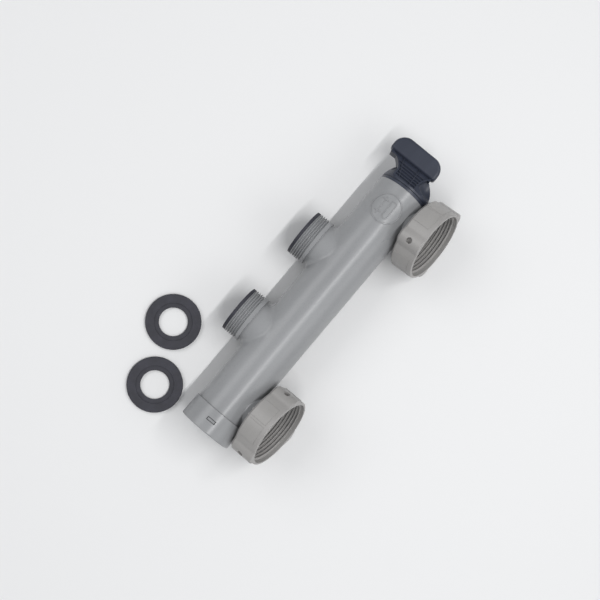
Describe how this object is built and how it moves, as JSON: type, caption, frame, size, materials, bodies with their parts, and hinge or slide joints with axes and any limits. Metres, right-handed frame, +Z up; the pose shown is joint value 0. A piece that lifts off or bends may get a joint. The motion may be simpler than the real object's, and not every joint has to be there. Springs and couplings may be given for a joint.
{
  "type": "multiport slide valve",
  "caption": "Push-pull multiport valve for a pool or spa filter: drafted barrel with threaded hose ports, loose union nuts, a clipped end cap and a cranked handle, with loose tank gaskets.",
  "frame": {"origin": "centre of the footprint, on the surface everything lies on", "axes": "+X along the barrel from the capped end to the handle; +Y towards the threaded ports; +Z up"},
  "size_m": [0.3616, 0.1842, 0.0785],
  "materials": {
    "body_grey": "satin moulded",
    "nut_grey": "satin moulded",
    "handle_dark": "satin moulded",
    "inner_pale": "smooth moulded",
    "gasket_black": "matte",
    "fastener_steel": "plain"
  },
  "bodies": {
    "valve": {"valve_body": "body_grey", "end_cap": "body_grey", "end_cap_gasket": "gasket_black", "bonnet": "handle_dark", "bonnet_screws": "fastener_steel", "stem_seal": "gasket_black", "pump_port_gasket": "gasket_black", "return_port_gasket": "gasket_black"},
    "plunger": {"stem": "inner_pale", "lower_piston": "inner_pale", "lower_piston_seal": "gasket_black", "upper_piston": "inner_pale", "upper_piston_seal": "gasket_black", "stem_clips": "fastener_steel", "end_washer": "fastener_steel", "end_screw": "fastener_steel"},
    "handle": {"handle": "handle_dark", "handle_grub_screw": "fastener_steel"},
    "lower_ring": {"lower_split_ring": "inner_pale"},
    "lower_nut": {"lower_union_nut": "nut_grey"},
    "upper_ring": {"upper_split_ring": "inner_pale"},
    "upper_nut": {"upper_union_nut": "nut_grey"},
    "first_gasket": {"first_tank_gasket": "gasket_black"},
    "second_gasket": {"second_tank_gasket": "gasket_black"}
  },
  "joints": [
    {"name": "plunger_slide", "type": "slide", "parent": "valve", "child": "plunger", "axis": [0.9999, 0, -0.0146], "range_m": [0, 0.06]},
    {"name": "handle_twist", "type": "hinge", "parent": "plunger", "child": "handle", "pos_m": [0.14846, -0.02045, 0.02996], "axis": [0.9999, 0, -0.0146], "range_deg": [0, 90]},
    {"name": "lower_nut_rock", "type": "hinge", "parent": "valve", "child": "lower_ring", "pos_m": [-0.11337, -0.07172, 0.01586], "axis": [0.9999, 0, -0.0146], "range_deg": [0, 16.8]},
    {"name": "lower_nut_spin", "type": "hinge", "parent": "lower_ring", "child": "lower_nut", "pos_m": [-0.11301, -0.06378, 0.04082], "axis": [0.0064, -0.8984, 0.4391], "continuous": true},
    {"name": "upper_nut_rock", "type": "hinge", "parent": "valve", "child": "upper_ring", "pos_m": [0.11521, -0.07172, 0.01254], "axis": [0.9999, 0, -0.0146], "range_deg": [0, 16.8]},
    {"name": "upper_nut_spin", "type": "hinge", "parent": "upper_ring", "child": "upper_nut", "pos_m": [0.11557, -0.06378, 0.03749], "axis": [0.0064, -0.8984, 0.4391], "continuous": true},
    {"name": "first_gasket_lift", "type": "slide", "parent": "valve", "child": "first_gasket", "axis": [0, 0, 1], "range_m": [0, 0.1]},
    {"name": "second_gasket_lift", "type": "slide", "parent": "valve", "child": "second_gasket", "axis": [0, 0, 1], "range_m": [0, 0.1]}
  ]
}
